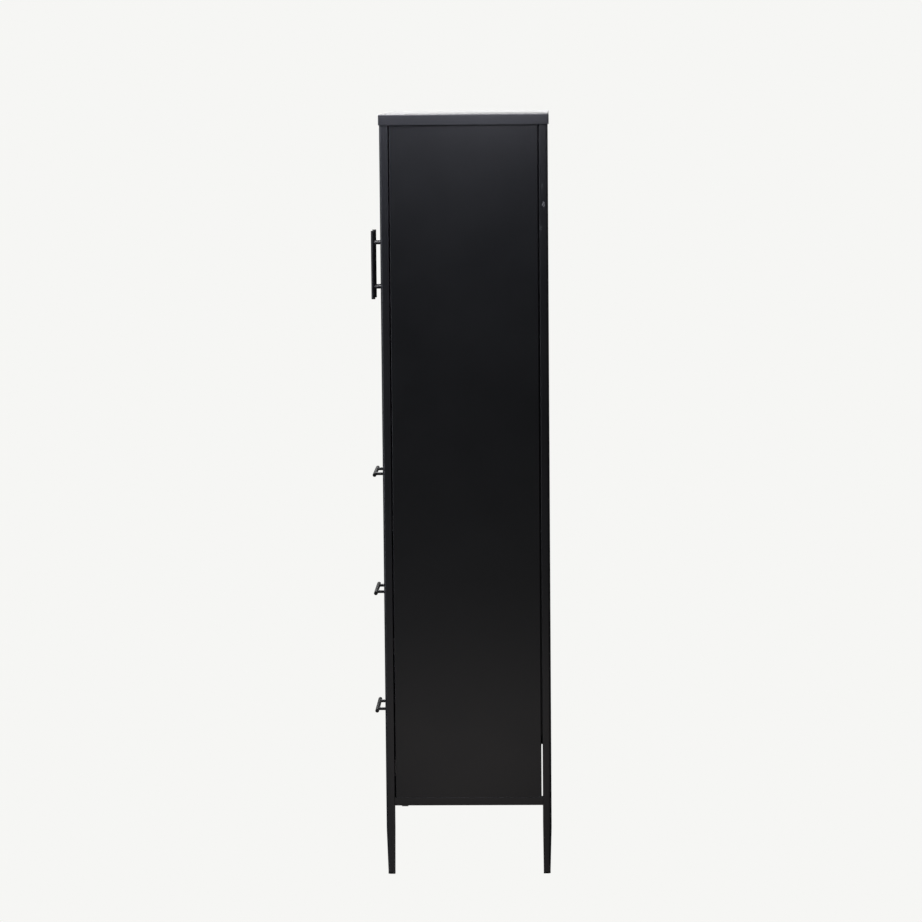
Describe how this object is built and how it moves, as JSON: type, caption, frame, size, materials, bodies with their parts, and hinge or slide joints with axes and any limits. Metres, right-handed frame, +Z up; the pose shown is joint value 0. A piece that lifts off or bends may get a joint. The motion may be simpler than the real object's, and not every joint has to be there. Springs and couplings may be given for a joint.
{
  "type": "metal storage cabinet",
  "caption": "tall sheet-metal cabinet on tapered legs: a shelved compartment behind two hinged doors, with full-width drawers below, all opened by bar handles",
  "frame": {"origin": "on the floor, under the middle of the overall box, bar handles included", "axes": "+Z up, the front with its handles faces -Y, +X is to the right for a viewer who faces the front from -Y"},
  "size_m": [0.8, 0.435, 1.8],
  "materials": {
    "powder_coat": "satin black powder coat with a faint fine texture",
    "handle_coat": "smooth semi-gloss black powder coat on the bar handles",
    "zinc_steel": "zinc-plated steel, slightly dull",
    "black_screw": "black oxide screws",
    "glide_plastic": "matt black polyethylene glides",
    "white_plastic": "natural acetal hinge bushings",
    "catch_plastic": "black plastic catch housings"
  },
  "bodies": {
    "carcass": {"adjustable_shelf": "powder_coat", "back_panel": "powder_coat", "bottom_panel": "powder_coat", "bottom_rail_front": "powder_coat", "bottom_rail_left": "powder_coat", "bottom_rail_rear": "powder_coat", "bottom_rail_right": "powder_coat", "cap_screws": "black_screw", "divider_shelf": "powder_coat", "foot_glides": "glide_plastic", "frame_screws": "black_screw", "hinge_brackets_left": "powder_coat", "hinge_brackets_right": "powder_coat", "magnet_catches": "catch_plastic", "post_front_left": "powder_coat", "post_front_right": "powder_coat", "post_rear_left": "powder_coat", "post_rear_right": "powder_coat", "rail_screws": "black_screw", "runner_fixed_bottom_left": "zinc_steel", "runner_fixed_bottom_right": "zinc_steel", "runner_fixed_middle_left": "zinc_steel", "runner_fixed_middle_right": "zinc_steel", "runner_fixed_top_left": "zinc_steel", "runner_fixed_top_right": "zinc_steel", "shelf_clips": "zinc_steel", "side_panel_left": "powder_coat", "side_panel_right": "powder_coat", "top_cap": "powder_coat", "top_rail_front": "powder_coat", "top_rail_rear": "powder_coat"},
    "door_left": {"door_handle_left": "handle_coat", "door_handle_screws_left": "zinc_steel", "door_liner_left": "powder_coat", "door_skin_left": "powder_coat", "hinge_bushings_left": "white_plastic"},
    "door_right": {"door_handle_right": "handle_coat", "door_handle_screws_right": "zinc_steel", "door_liner_right": "powder_coat", "door_skin_right": "powder_coat", "hinge_bushings_right": "white_plastic"},
    "drawer_bottom": {"drawer_front_bottom": "powder_coat", "drawer_handle_bottom": "handle_coat", "drawer_handle_screws_bottom": "zinc_steel", "drawer_tray_bottom": "powder_coat", "runner_moving_bottom_left": "zinc_steel", "runner_moving_bottom_right": "zinc_steel"},
    "drawer_middle": {"drawer_front_middle": "powder_coat", "drawer_handle_middle": "handle_coat", "drawer_handle_screws_middle": "zinc_steel", "drawer_tray_middle": "powder_coat", "runner_moving_middle_left": "zinc_steel", "runner_moving_middle_right": "zinc_steel"},
    "drawer_top": {"drawer_front_top": "powder_coat", "drawer_handle_screws_top": "zinc_steel", "drawer_handle_top": "handle_coat", "drawer_tray_top": "powder_coat", "runner_moving_top_left": "zinc_steel", "runner_moving_top_right": "zinc_steel"}
  },
  "joints": [
    {"name": "door_left_hinge", "type": "hinge", "parent": "carcass", "child": "door_left", "pos_m": [-0.368, -0.17, 1.42], "axis": [0, 0, -1], "range_deg": [0, 100]},
    {"name": "door_right_hinge", "type": "hinge", "parent": "carcass", "child": "door_right", "pos_m": [0.368, -0.17, 1.42], "axis": [0, 0, 1], "range_deg": [0, 100]},
    {"name": "drawer_bottom_slide", "type": "slide", "parent": "carcass", "child": "drawer_bottom", "axis": [0, -1, 0], "range_m": [0, 0.25]},
    {"name": "drawer_middle_slide", "type": "slide", "parent": "carcass", "child": "drawer_middle", "axis": [0, -1, 0], "range_m": [0, 0.25]},
    {"name": "drawer_top_slide", "type": "slide", "parent": "carcass", "child": "drawer_top", "axis": [0, -1, 0], "range_m": [0, 0.25]}
  ]
}
